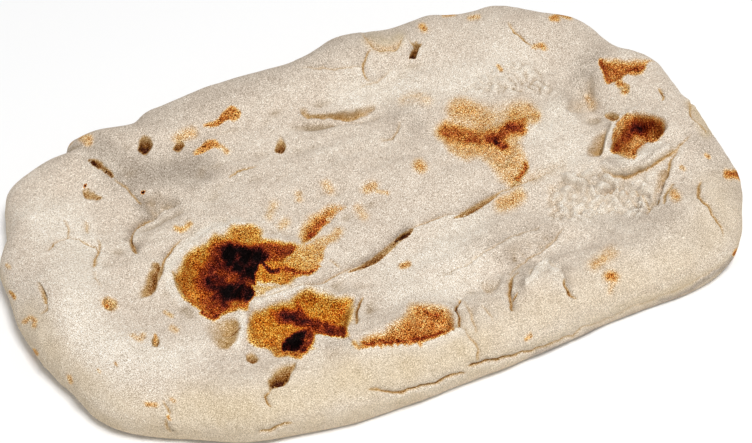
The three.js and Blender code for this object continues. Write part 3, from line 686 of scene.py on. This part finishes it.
def view_axes():
    """The camera's right, up and back directions."""
    azimuth = math.radians(AZIMUTH)
    flat = math.cos(math.radians(ELEVATION))
    back = (math.sin(azimuth) * flat, -math.cos(azimuth) * flat, math.sin(math.radians(ELEVATION)))
    right = (math.cos(azimuth), math.sin(azimuth), 0)
    return np.array(right), np.cross(back, right), np.array(back)


RIGHT, UP, BACK = view_axes()
EYE = TARGET + BACK * DISTANCE
FOCUS = LENS / SENSOR * PHOTO_SIZE[0]      # focal length in pixels
PIXELS_PER_MM = FOCUS / DISTANCE
IN_PLANE = np.array((1, 1)) / PIXELS_PER_MM                 # millimetres a pixel, square to the sight line
ON_LEVEL = IN_PLANE / (1, math.sin(math.radians(ELEVATION)))      # and on a level top


def pixel_of(points):
    """Photo pixels at which points lie."""
    offset = points - EYE
    across = np.stack((offset @ RIGHT, -(offset @ UP)), 1)
    return across / -(offset @ BACK)[:, None] * FOCUS + PHOTO_SIZE / 2


# Runs of points and noise

def smooth_run(points, closed=False):
    """A Catmull-Rom curve through points, as a finer run of points."""
    points = np.asarray(points, float)
    if closed:
        around = np.vstack((points[-1:], points, points[:2]))
    else:
        around = np.vstack((2 * points[:1] - points[1:2], points, 2 * points[-1:] - points[-2:-1]))
    t = np.linspace(0, 1, RUN_STEPS, endpoint=False)[:, None]
    parts = []
    for a, b, c, d in zip(around, around[1:], around[2:], around[3:]):
        curve = 2 * b + (c - a) * t + (2 * a - 5 * b + 4 * c - d) * t ** 2
        parts.append((curve + (3 * b - a - 3 * c + d) * t ** 3) / 2)
    parts.append(points[:1] if closed else points[-1:])
    return np.vstack(parts)


def nearest_on_run(points, run, unit=None):
    """Gap from each point to a run, its foot and its place along the run from 0 to 1. Where each stretch
    of the run has a unit of its own, gaps are counted in that unit."""
    gap = np.full(len(points), np.inf)
    foot = np.zeros_like(points)
    place = np.zeros(len(points))
    for index, (a, b) in enumerate(zip(run, run[1:])):
        along = b - a
        t = np.clip((points - a) @ along / max(along @ along, SHORTEST), 0, 1)
        here = a + t[:, None] * along
        distance = np.linalg.norm(points - here, axis=1)
        if unit is not None:
            distance = distance / unit[index]
        closer = distance < gap
        gap[closer] = distance[closer]
        foot[closer] = here[closer]
        place[closer] = (index + t[closer]) / (len(run) - 1)
    return gap, foot, place


def close_by(points, run, margin):
    """Indices of the points within a margin of the run's box."""
    inside = (points > run.min(0) - margin) & (points < run.max(0) + margin)
    return np.nonzero(inside.all(1))[0]


def within(pixels, outline):
    """Whether pixels lie inside a closed run."""
    inside = np.zeros(len(pixels), bool)
    for (ax, ay), (bx, by) in zip(outline, outline[1:]):
        spans = (pixels[:, 1] < ay) != (pixels[:, 1] < by)
        crossing = ax + (pixels[:, 1] - ay) * (bx - ax) / ((by - ay) or 1)
        inside ^= spans & (pixels[:, 0] < crossing)
    return inside


SLOPES = np.array([g for g in itertools.product((-1, 0, 1), repeat=3) if sum(map(abs, g)) == 2], float)

# Keys and shifts that scatter the slopes over the noise's cells
CELL_KEYS = (73856093, 19349663, 83492791)
SEED_KEY = 2654435761
MIXERS = ((15, 2246822519), (13, 3266489917))
LAST_SHIFT = 16
WORD = 0xFFFFFFFF


def dough_noise(points, size, seed):
    """Smooth noise between about -1 and 1, with lumps of about the given size."""
    scaled = points / size
    cell = np.floor(scaled).astype(np.int64)
    part = scaled - cell
    blend = part ** 3 * (part * (part * 6 - 15) + 10)
    total = np.zeros(len(points))
    for corner in itertools.product((0, 1), repeat=3):
        key = (cell + corner) * CELL_KEYS
        code = (key[:, 0] ^ key[:, 1] ^ key[:, 2] ^ seed * SEED_KEY) & WORD
        for shift, factor in MIXERS:
            code = ((code ^ code >> shift) * factor) & WORD
        slope = SLOPES[(code ^ code >> LAST_SHIFT) % len(SLOPES)]
        weight = np.where(corner, blend, 1 - blend).prod(1)
        total += weight * (slope * (part - corner)).sum(1)
    return total


def ragged(pixels):
    """Pixels moved sideways, so that the edges drawn in them come out ragged."""
    places = np.column_stack((pixels * IN_PLANE, np.zeros(len(pixels))))
    moved = pixels.copy()
    for amount, size, seed in RAGGED:
        wander = [dough_noise(places, size, seed + axis) for axis in range(2)]
        moved += amount * PIXELS_PER_MM * np.stack(wander, 1)
    return moved


def drawn_in(shape, straight, wandering):
    """The pixels that a shape is drawn in: straight ones where its edge is smooth, as a pale stroke's is."""
    soft = "radius" in shape and shape["shade"] < SOFT_SHADE
    return straight if soft or shape.get("smooth") else wandering


# Relief of the broken skin

def inside_share(pixels, shape, near, far, scale):
    """Indices of the pixels near a shape's edge or inside it, how far inside they are, from 0 at the edge to
    1 past a wall that is near long on the side that the shape names and far long on the other, and their
    gap outside the edge."""
    edge = smooth_run(shape["edge"], closed=True) * scale
    places = pixels * scale
    chosen = close_by(places, edge, FADED * LIP_WIDTH)
    places = places[chosen]
    step = np.diff(edge, axis=0)
    around = np.sign(np.sum(np.cross(edge[:-1], edge[1:])))
    outward = around * np.stack((step[:, 1], -step[:, 0]), 1)
    outward /= np.linalg.norm(outward, axis=1, keepdims=True)
    toward = np.array(shape["toward"]) / np.linalg.norm(shape["toward"])
    wall = far + (near - far) * (0.5 + 0.5 * outward @ toward)
    inside = within(places, edge)
    share = np.where(inside, np.minimum(nearest_on_run(places, edge, wall)[0], 1), 0)
    return chosen, share, np.where(inside, 0, nearest_on_run(places, edge)[0])


def pit_relief(pixels, pit):
    """Indices of the pixels that a pit changes, their rise, and how far in the pit they are."""
    chosen, share, outside = inside_share(pixels, pit, pit["steep"], pit["gentle"], ON_LEVEL)
    bowl = ease(share)
    lip = np.exp(-(outside / LIP_WIDTH) ** 2) * (1 - bowl)
    return chosen, pit["lip"] * lip - pit["depth"] * bowl, bowl


def crease_relief(pixels, crease):
    """Indices of the pixels that a crease changes, their rise, how near its line they are, and how much
    painted
    shade they take: most behind it, and less than nothing, which is painted light, on its near side."""
    strengths = [point[2] if len(point) > 2 else 1 for point in crease["run"]]
    run = smooth_run(np.column_stack(([point[:2] for point in crease["run"]], strengths)))
    line = run[:, :2] * ON_LEVEL
    places = pixels * ON_LEVEL
    chosen = close_by(places, line, FADED * max(crease["near"], crease["far"], LIP_WIDTH))
    gap, foot, place = nearest_on_run(places[chosen], line)
    strength = np.interp(place, np.linspace(0, 1, len(run)), run[:, 2])
    strength = strength * ease(place / TAPER) * ease((1 - place) / TAPER)
    below = places[chosen][:, 1] > foot[:, 1]
    groove = np.exp(-(gap / np.where(below, crease["near"], crease["far"])) ** 2)
    near_side = np.exp(-(gap / LIP_WIDTH) ** 2)
    lip = np.where(below, (1 - groove) * near_side, 0)
    line = np.exp(-(gap / TINT_WIDTH) ** 2)
    shade_behind = np.exp(-(gap / (PAINTED_SHADE_REACH * crease["far"])) ** 2)
    painted_shade_and_light = np.where(below, -near_side, shade_behind) * min(abs(crease["depth"]) / PAINTED_SHADE_FULL_DEPTH, 1)
    rise = strength * (crease["lip"] * lip - crease["depth"] * groove)
    return chosen, rise, strength * line, strength * painted_shade_and_light


def pit_tint(pixels, pit):
    """Indices of the pixels in a pit and how much of its tint they take, most towards its steep side."""
    chosen, share, _ = inside_share(pixels, pit, pit["steep"], pit["gentle"], ON_LEVEL)
    toward = np.array(pit["toward"]) / np.linalg.norm(pit["toward"])
    along = np.array(pit["edge"]) @ toward
    place = (pixels[chosen] @ toward - along.min()) / np.ptp(along)
    stain = STAIN_LEAST + (1 - STAIN_LEAST) * np.clip(place, 0, 1) ** STAIN_CURVE
    return chosen, stain * ease(share * STAIN_RISE)


def browning_share(pixels, brown):
    """Indices of the pixels that a patch or stroke reaches and how much of it they take."""
    if "edge" in brown:
        chosen, share, _ = inside_share(pixels, brown, brown["crisp"], brown["soft"], IN_PLANE)
        return chosen, ease(share)
    run = smooth_run(brown["run"]) * IN_PLANE
    places = pixels * IN_PLANE
    chosen = close_by(places, run, brown["radius"] * STROKE_REACH)
    gap = nearest_on_run(places[chosen], run)[0] / brown["radius"]
    return chosen, ease((STROKE_REACH - gap) / STROKE_FADE) ** STROKE_CURVE


# The mesh

def dough_block():
    """A closed two-unit block with a fine top."""
    bpy.ops.object.select_all(action="DESELECT")
    bpy.ops.mesh.primitive_grid_add(
        x_subdivisions=COLUMNS, y_subdivisions=ROWS, size=2, location=(0, 0, 1))
    dough = bpy.context.object
    dough.name = "pinsa"
    bpy.ops.object.transform_apply(location=True, rotation=False, scale=False)
    bpy.ops.object.mode_set(mode="EDIT")
    bpy.ops.mesh.select_mode(type="EDGE")
    bpy.ops.mesh.select_all(action="DESELECT")
    bpy.ops.mesh.select_non_manifold()
    for _ in range(SIDE_STEPS):
        bpy.ops.mesh.extrude_edges_move(TRANSFORM_OT_translate={"value": (0, 0, -2 / SIDE_STEPS)})
    bpy.ops.mesh.select_all(action="DESELECT")
    bpy.ops.mesh.primitive_grid_add(
        x_subdivisions=COLUMNS // UNDERSIDE_SHARE, y_subdivisions=ROWS // UNDERSIDE_SHARE,
        size=UNDERSIDE_SIZE, location=(0, 0, -1))
    bpy.ops.mesh.flip_normals()
    bpy.ops.mesh.select_all(action="DESELECT")
    bpy.ops.mesh.select_non_manifold()
    bpy.ops.mesh.bridge_edge_loops()
    bpy.ops.mesh.select_all(action="SELECT")
    bpy.ops.mesh.normals_make_consistent()
    bpy.ops.object.mode_set(mode="OBJECT")
    return dough


def read(collection, name):
    """A vector of every vertex or face, as an array."""
    values = np.empty(len(collection) * 3)
    collection.foreach_get(name, values)
    return values.reshape(-1, 3)


def place_points(mesh, points):
    """Moves every vertex."""
    mesh.vertices.foreach_set("co", points.ravel())
    mesh.update()


def neighbour_mean(mesh, points, steps):
    """Every vertex's place, averaged over its neighbours a number of times."""
    edges = np.empty(len(mesh.edges) * 2, np.int32)
    mesh.edges.foreach_get("vertices", edges)
    edges = edges.reshape(-1, 2)
    count = np.bincount(edges.ravel(), minlength=len(points))[:, None]
    for _ in range(steps):
        total = np.zeros_like(points)
        for axis in range(3):
            total[:, axis] += np.bincount(edges[:, 0], points[edges[:, 1], axis], len(points))
            total[:, axis] += np.bincount(edges[:, 1], points[edges[:, 0], axis], len(points))
        points = total / count
    return points


def round_lines(pixels, runs, margin):
    """Which pixels lie within a margin of any run."""
    near = np.zeros(len(pixels), bool)
    places = pixels * ON_LEVEL
    for run in runs:
        line = smooth_run(run) * ON_LEVEL
        chosen = close_by(places, line, margin)
        near[chosen] |= nearest_on_run(places[chosen], line)[0] < margin
    return near


def divide(dough, block, chosen):
    """Divides the chosen faces, with the dough back in the shape of the block."""
    mesh = dough.data
    place_points(mesh, block)
    mesh.vertices.foreach_set("select", np.zeros(len(mesh.vertices), bool))
    mesh.edges.foreach_set("select", np.zeros(len(mesh.edges), bool))
    mesh.polygons.foreach_set("select", chosen)
    bpy.ops.object.mode_set(mode="EDIT")
    bpy.ops.mesh.select_mode(type="FACE")
    bpy.ops.mesh.subdivide(number_cuts=1)
    bpy.ops.object.mode_set(mode="OBJECT")
    return read(mesh.vertices, "co")


def divide_detail(dough, block):
    """Divides the faces round every break and brown patch once, and round every crack and edge twice."""
    mesh = dough.data
    areas = [shape["edge"] for shape in PITS + PEBBLES]
    areas += [brown["edge"] for brown in BROWNING if "edge" in brown]
    cracks = [[point[:2] for point in crease["run"]] for crease in CREASES]
    strokes = [brown["run"] for brown in BROWNING if "run" in brown]
    edges = [pit["edge"] + pit["edge"][:1] for pit in PITS]
    pixels = ragged(pixel_of(read(mesh.polygons, "center")))
    fine = round_lines(pixels, areas + cracks + strokes, DETAIL_MARGIN)
    for area in areas:
        fine |= within(pixels, smooth_run(area, closed=True))
    block = divide(dough, block, fine & (read(mesh.polygons, "normal") @ BACK > FACING_LEAST))
    place_points(mesh, knead(block))
    pixels = ragged(pixel_of(read(mesh.polygons, "center")))
    fine = round_lines(pixels, cracks + edges, LINE_MARGIN)
    return divide(dough, block, fine & (read(mesh.polygons, "normal") @ BACK > FACING_LEAST))


def broken_skin(soft, normals):
    """Rise of every point of the unbroken bread, how brown a crack there is, how burnt the hidden wall of a
    pit is, and the painted shade (above nothing) and painted light (below) that creases and lumps give it."""
    straight = pixel_of(soft)
    wandering = ragged(straight)
    facing = normals @ BACK > FACING_LEAST
    rise, depth, crack, burnt, painted_shade_and_light = np.zeros((5, len(soft)))
    for pit in PITS:
        chosen, change, bowl = pit_relief(drawn_in(pit, straight, wandering), pit)
        rise[chosen] += change * facing[chosen]
        depth[chosen] = np.maximum(depth[chosen], bowl * facing[chosen])
        wall = np.minimum(1, bowl * BURNT_RISE) * facing[chosen]
        burnt[chosen] = np.maximum(burnt[chosen], wall * pit.get("burnt", 0))
    for crease in CREASES:
        chosen, change, line, crease_shading = crease_relief(drawn_in(crease, straight, wandering), crease)
        rise[chosen] += change * facing[chosen]
        painted_shade_and_light[chosen] += crease_shading * facing[chosen]
        crack[chosen] = np.maximum(crack[chosen], crease["tint"] * line * facing[chosen])
    for pebbles in PEBBLES:
        chosen, share, _ = inside_share(wandering, pebbles, PEBBLE_FADE, PEBBLE_FADE, ON_LEVEL)
        lumps = dough_noise(soft[chosen], pebbles["size"], pebbles["seed"])
        lumps = (PEBBLE_GAIN * np.abs(lumps) - PEBBLE_SINK) * ease(share) * facing[chosen]
        rise[chosen] += pebbles["rise"] * lumps
        # painted shade in the hollows between the lumps, and painted light on their tops
        painted_shade_and_light[chosen] -= pebbles["rise"] * lumps
    lumpy = ease(soft[:, 2] / LUMPS_FROM)
    outward = np.hypot(soft[:, 0] / (LENGTH / 2), soft[:, 1] / (WIDTH / 2))
    lumpy *= 1 - RIM_CALM * ease((outward - CALM_FROM) / CALM_OVER)
    for amount, size, seed in LUMPS:
        rise += amount * dough_noise(soft * STRETCH, size, seed) * lumpy
    amount, size, seed = PIT_WRINKLES
    rise += amount * dough_noise(soft, size, seed) * depth
    return rise, crack, burnt, painted_shade_and_light


def bake(bread, normals):
    """How baked, how free of flour where baked, how stained in its dents and how much painted shade they
    take, how bare of flour, how floury with painted light and how much painted shade every point of the
    bread takes."""
    straight = pixel_of(bread)
    wandering = ragged(straight)
    facing = normals @ BACK > TONE_FACING
    toast, olive, dent_shade, flour_and_painted_light, glaze, painted_shade = np.zeros((6, len(bread)))
    thin = SIDE_BARE * ease((SIDE_SLOPE - normals[:, 2]) / SIDE_FADE)
    amount, size, seed = MOTTLE
    mottled = 1 + amount * dough_noise(bread, size, seed)
    for pit in PITS:
        chosen, share = pit_tint(drawn_in(pit, straight, wandering), pit)
        share = share * mottled[chosen] * facing[chosen]
        olive[chosen] = np.maximum(olive[chosen], pit.get("shade", 0) * share)
        # a dent's bare share is painted shade, tan like unfloured dough
        dent_shade[chosen] = np.maximum(dent_shade[chosen], pit.get("bare", 0) * share)
    for tone, marks in ((thin, BARE), (flour_and_painted_light, FLOUR_AND_PAINTED_LIGHT), (glaze, GLAZE), (painted_shade, PAINTED_SHADE_STROKES)):
        for mark in marks:
            chosen, share = browning_share(wandering, mark)
            tone[chosen] = np.maximum(tone[chosen], mark["shade"] * share * facing[chosen])
    for brown in BROWNING:
        chosen, share = browning_share(drawn_in(brown, straight, wandering), brown)
        toast[chosen] += (brown["shade"] - toast[chosen]) * share * facing[chosen]
    for amount, size, seed in SCORCH:
        toast *= 1 + amount * dough_noise(bread, size, seed)
    return dict(toast=toast, glaze=glaze, crack=olive, cavity=dent_shade, bare=thin, flour_and_painted_light=flour_and_painted_light, painted_shade=painted_shade)


def baked_bread():
    """The whole bread: kneaded from the block, broken, wrinkled and browned."""
    dough = dough_block()
    mesh = dough.data
    block = read(mesh.vertices, "co")
    place_points(mesh, knead(block))
    block = divide_detail(dough, block)
    soft = knead(block)
    place_points(mesh, soft)
    normals = read(mesh.vertices, "normal")
    rise, crack, burnt, painted_shade_and_light = broken_skin(soft, normals)
    bread = soft + normals * rise[:, None]
    bread[:, 2] = np.maximum(bread[:, 2], 0)
    place_points(mesh, bread)
    normals = read(mesh.vertices, "normal")
    tones = bake(bread, normals)
    for point in np.flatnonzero(burnt > tones["toast"]):
        if dough.ray_cast(bread[point] + CLEAR * normals[point], BACK)[0]:
            tones["toast"][point] = burnt[point]
    tones["crack"] = np.maximum(crack, tones["crack"])
    # painted shade behind creases and between lumps, and painted light, laid on as flour, before creases and
    # on lumps
    tones["painted_shade"] = np.clip(tones["painted_shade"] + PAINTED_SHADE_BEHIND_CREASE * np.maximum(painted_shade_and_light, 0), 0, 1)
    tones["flour_and_painted_light"] = np.clip(tones["flour_and_painted_light"] + PAINTED_LIGHT_BEFORE_CREASE * np.maximum(-painted_shade_and_light, 0), 0, 1)
    # painted shade in hollows: darker where the skin lies deeper than the mean of its neighbours
    around = neighbour_mean(mesh, bread, HOLLOW_SHADE_STEPS)
    cavity = ease(((around - bread) * normals).sum(1) / HOLLOW_SHADE_DEPTH - HOLLOW_SHADE_LEAST)
    tones["cavity"] = np.maximum(cavity, tones["cavity"])
    for name, values in tones.items():
        mesh.attributes.new(name, "FLOAT", "POINT").data.foreach_set("value", values)
    bpy.ops.object.select_all(action="DESELECT")
    dough.select_set(True)
    bpy.context.view_layer.objects.active = dough
    dough.scale = (MM, MM, MM)
    bpy.ops.object.transform_apply(location=False, rotation=False, scale=True)
    bpy.ops.object.shade_smooth()
    return dough


# Materials

def linear(hex_colour):
    """An sRGB hex colour as linear red, green, blue and full alpha."""
    shares = [int(hex_colour[at:at + 2], 16) / 255 for at in (1, 3, 5)]
    return [s / 12.92 if s <= 0.04045 else ((s + 0.055) / 1.055) ** 2.4 for s in shares] + [1]


def add(tree, kind, inputs=(), **settings):
    """A node with its settings, and its inputs as values or as links from other nodes' sockets."""
    node = tree.nodes.new(kind)
    for name, value in settings.items():
        setattr(node, name, value)
    for name, value in dict(inputs).items():
        if isinstance(value, bpy.types.NodeSocket):
            tree.links.new(value, node.inputs[name])
        else:
            node.inputs[name].default_value = value
    return node


MIX_A, MIX_B, MIX_RESULT = 6, 7, 2      # colour sockets of a Mix node, which share their names with others


def mapped(tree, value, source, result):
    """A value taken from one range to another."""
    return add(tree, "ShaderNodeMapRange", {
        "Value": value, "From Min": source[0], "From Max": source[1],
        "To Min": result[0], "To Max": result[1]}).outputs["Result"]


def maths(tree, operation, *values, clamp=False):
    """The result of an operation on numbers or sockets."""
    inputs = dict(enumerate(values))
    return add(tree, "ShaderNodeMath", inputs, operation=operation, use_clamp=clamp).outputs[0]


def mixed(tree, share, under, over, blend="MIX", clamp=False):
    """A share of one colour laid over another."""
    inputs = {"Factor": share, MIX_A: under, MIX_B: over}
    settings = dict(data_type="RGBA", blend_type=blend, clamp_result=clamp)
    return add(tree, "ShaderNodeMix", inputs, **settings).outputs[MIX_RESULT]


# Shades of the crust from floured skin to char: browning, and colour under flour and where it is bare
BAKE = [
    (0, "#d4c4b2", "#d4c4b2"), (0.12, "#d9b284", "#d6ae6c"), (0.25, "#cf9150", "#d08d30"),
    (0.4, "#b86a26", "#bb690f"), (0.5, "#9c4f18", "#aa4a07"), (0.6, "#812f09", "#7e2a06"),
    (0.75, "#521207", "#501006"), (0.87, "#270705", "#250605"), (1, "#060202", "#060202"),
]
BARE_SKIN = "#d3bf9c"      # skin that kept little flour
# white of thick flour, and of painted light
FLOUR_WHITE_AND_PAINTED_LIGHT = "#e5d8c7"
PAINTED_SHADE_GREY = "#aa9c8c"     # grey of painted shade
CRACK_TAN = "#ba9763"      # dents and cracks from shallow to deep
CRACK_BROWN = "#855219"
CRACK_DARK = "#441904"
PAINTED_HOLLOW_SHADE = "#a8947a"   # painted shade in creases and hollows, tan like dough that no flour reached
DISPLAY_GAMMA = 2.2

# Noise of the flour: size in millimetres and detail. Real grains are about half as large, too fine to show
FLOUR_GRAIN = (0.36, 1)
FLOUR_CLOT = (3.5, 2)
FLOUR_DRIFT = (18, 3)
NOISE_ROUGHNESS = 0.6

# Grains in browned and stained skin
GRAIN_RANGE = (0.3, 0.7)   # of the noise
GRAIN_SHADE = 0.07         # how much a grain lightens or darkens the browning
GRAIN_HOLD = (0, 0.14)     # browning over which the grains come in
STAIN_HOLD = (0, 0.2)      # and the stain
STAIN_GRIT = 1.6           # how much more they count in stains

# Flour, painted light and shade, and stains on skin that isn't browned
FLOUR_FADE = (0, 0.15)     # browning over which flour and bare skin give way
STAIN_FADE = (0.1, 0.4)    # and stains
DRIFT_RANGE = (0.4, 0.7)   # of the noise, from no flour to thick flour
DRIFT_FLOUR = 0.4          # how thick that is
STAIN_STEPS = ((0, 0.4), (0.4, 0.7), (0.7, 1))      # stain over which each shade of the cracks comes in

# Specks on all of the skin: range of what they follow, and their strength over that range
CLOT_SHARE = 0.12          # share of clots in the specks
SPECK_MEAN = 0.56
OWN_SPECKS = ((0, 0.35), (0, 2.8))       # in the skin's own hue, by browning
EVEN_SPECKS = ((0.5, 1), (1.15, 0.4))    # even in every channel, by browning
BARE_SPECKS = ((0, 0.6), (1, 0.7))       # fewer on bare skin
BUMP_STRENGTH = 0.5
BUMP_HEIGHT = 0.6          # millimetres
CRUST_ROUGHNESS = 0.9
CRUST_IOR = 1.45
CRUST_SHEEN = 0.06


def floury_crust():
    """Baked wheat dough dusted with flour: matt, pale and sandy, with blisters browned to black."""
    material = bpy.data.materials.new("floury_baked_dough")
    material.use_nodes = True
    tree = material.node_tree
    tree.nodes.clear()
    place = add(tree, "ShaderNodeTexCoord").outputs["Object"]
    toast, glaze, crack, cavity, bare, flour_and_painted_light, painted_shade = (
        add(tree, "ShaderNodeAttribute", attribute_name=name).outputs["Fac"]
        for name in ("toast", "glaze", "crack", "cavity", "bare", "flour_and_painted_light", "painted_shade"))
    grain, clot, drift = (
        add(tree, "ShaderNodeTexNoise", {
            "Vector": place, "Scale": 1 / (size * MM), "Detail": detail,
            "Roughness": NOISE_ROUGHNESS}).outputs["Fac"]
        for size, detail in (FLOUR_GRAIN, FLOUR_CLOT, FLOUR_DRIFT))

    # Browning, with lighter and darker grains that thin out towards its edge
    sandy = mapped(tree, grain, GRAIN_RANGE, (GRAIN_SHADE, -GRAIN_SHADE))
    hold = mapped(tree, toast, GRAIN_HOLD, (0, 1))
    baked = maths(tree, "MULTIPLY_ADD", sandy, hold, toast)
    browns = []
    for column in (1, 2):
        shade = add(tree, "ShaderNodeValToRGB", {"Fac": baked})
        ramp = shade.color_ramp
        while len(ramp.elements) < len(BAKE):
            ramp.elements.new(1)
        for element, stop in zip(ramp.elements, BAKE):
            element.position = stop[0]
            element.color = linear(stop[column])
        browns.append(shade.outputs["Color"])
    colour = mixed(tree, glaze, *browns)

    # Thick and thin flour, painted light and shade, and stains, on skin that isn't browned
    pale = mapped(tree, toast, FLOUR_FADE, (1, 0))
    drifts = mapped(tree, drift, DRIFT_RANGE, (0, DRIFT_FLOUR))
    flour_and_painted_light = maths(tree, "ADD", flour_and_painted_light, drifts, clamp=True)
    thin, painted_shade_share, flour_and_light_share, hollow_shade_share = (
        maths(tree, "MULTIPLY", share, pale) for share in (bare, painted_shade, flour_and_painted_light, cavity))
    gritty = mapped(tree, crack, STAIN_HOLD, (0, STAIN_GRIT))
    stained = maths(tree, "MULTIPLY_ADD", sandy, gritty, crack)
    stained = maths(tree, "MULTIPLY", stained, mapped(tree, toast, STAIN_FADE, (1, 0)))
    shallow, middle, deep = (mapped(tree, stained, step, (0, 1)) for step in STAIN_STEPS)
    tones = ((thin, BARE_SKIN), (painted_shade_share, PAINTED_SHADE_GREY), (hollow_shade_share, PAINTED_HOLLOW_SHADE), (flour_and_light_share, FLOUR_WHITE_AND_PAINTED_LIGHT),
             (shallow, CRACK_TAN), (middle, CRACK_BROWN), (deep, CRACK_DARK))
    for share, tone in tones:
        colour = mixed(tree, share, colour, linear(tone))

    # Lighter and darker grains: on pale skin even in every channel, on brown skin more of its own hue
    speck = maths(tree, "MULTIPLY_ADD", clot, CLOT_SHARE, grain)
    spread = maths(tree, "SUBTRACT", speck, SPECK_MEAN)
    own = maths(tree, "MULTIPLY_ADD", spread, mapped(tree, toast, *OWN_SPECKS), 1)
    even = maths(tree, "MULTIPLY", mapped(tree, toast, *EVEN_SPECKS), mapped(tree, bare, *BARE_SPECKS))
    even = maths(tree, "MULTIPLY", spread, even)
    seen = add(tree, "ShaderNodeGamma", {"Color": colour, "Gamma": 1 / DISPLAY_GAMMA}).outputs["Color"]
    for share, blend in ((own, "MULTIPLY"), (even, "ADD")):
        seen = mixed(tree, 1, seen, share, blend, clamp=True)
    colour = add(tree, "ShaderNodeGamma", {"Color": seen, "Gamma": DISPLAY_GAMMA}).outputs["Color"]
    bump = add(tree, "ShaderNodeBump", {
        "Height": speck, "Strength": BUMP_STRENGTH, "Distance": BUMP_HEIGHT * MM})
    skin = add(tree, "ShaderNodeBsdfPrincipled", {
        "Base Color": colour, "Roughness": CRUST_ROUGHNESS, "IOR": CRUST_IOR,
        "Specular IOR Level": CRUST_SHEEN, "Normal": bump.outputs["Normal"]})
    add(tree, "ShaderNodeOutputMaterial", {"Surface": skin.outputs["BSDF"]})
    return material


PAPER_WHITE = "#fbfbfb"
PAPER_ROUGHNESS = 0.9


def pale_floor():
    """Matt white paper."""
    material = bpy.data.materials.new("matt_white_paper")
    material.use_nodes = True
    shader = material.node_tree.nodes["Principled BSDF"]
    shader.inputs["Base Color"].default_value = linear(PAPER_WHITE)
    shader.inputs["Roughness"].default_value = PAPER_ROUGHNESS
    return material


# Stage

FLOOR_SIZE = 6             # metres, as the key light's place and size
KEY_PLACE = (0.03, -0.6, 1.65)
KEY_SIZE = 0.5
KEY_POWER = 23             # watts
TENT_STRENGTH = 0.4


def add_floor():
    bpy.ops.mesh.primitive_plane_add(size=FLOOR_SIZE, location=(0, 0, 0))
    floor = bpy.context.object
    floor.name = "floor"
    floor.data.materials.append(pale_floor())


def add_light(name, place, size, power):
    """A soft square light at a place, facing the bread."""
    bpy.ops.object.light_add(type="AREA", location=place)
    light = bpy.context.object
    light.name = name
    light.rotation_euler = (-Vector(place)).to_track_quat("-Z", "Y").to_euler()
    light.data.size = size
    light.data.energy = power


def add_tent():
    """White studio tent, even on all sides."""
    world = bpy.data.worlds.new("studio_tent")
    world.use_nodes = True
    background = world.node_tree.nodes["Background"]
    background.inputs["Color"].default_value = (1, 1, 1, 1)
    background.inputs["Strength"].default_value = TENT_STRENGTH
    bpy.context.scene.world = world


def add_camera():
    bpy.ops.object.camera_add()
    camera = bpy.context.object
    camera.data.lens = LENS
    camera.data.sensor_width = SENSOR
    camera.matrix_world = Matrix.Translation(EYE * MM) @ Matrix((RIGHT, UP, BACK)).transposed().to_4x4()
    bpy.context.scene.camera = camera


bread = baked_bread()
bread.data.materials.append(floury_crust())
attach(bread, "root")
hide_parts("pinsa_base")

add_floor()
add_light("key", KEY_PLACE, KEY_SIZE, KEY_POWER)
add_tent()
bpy.context.scene.view_settings.view_transform = "Standard"
add_camera()
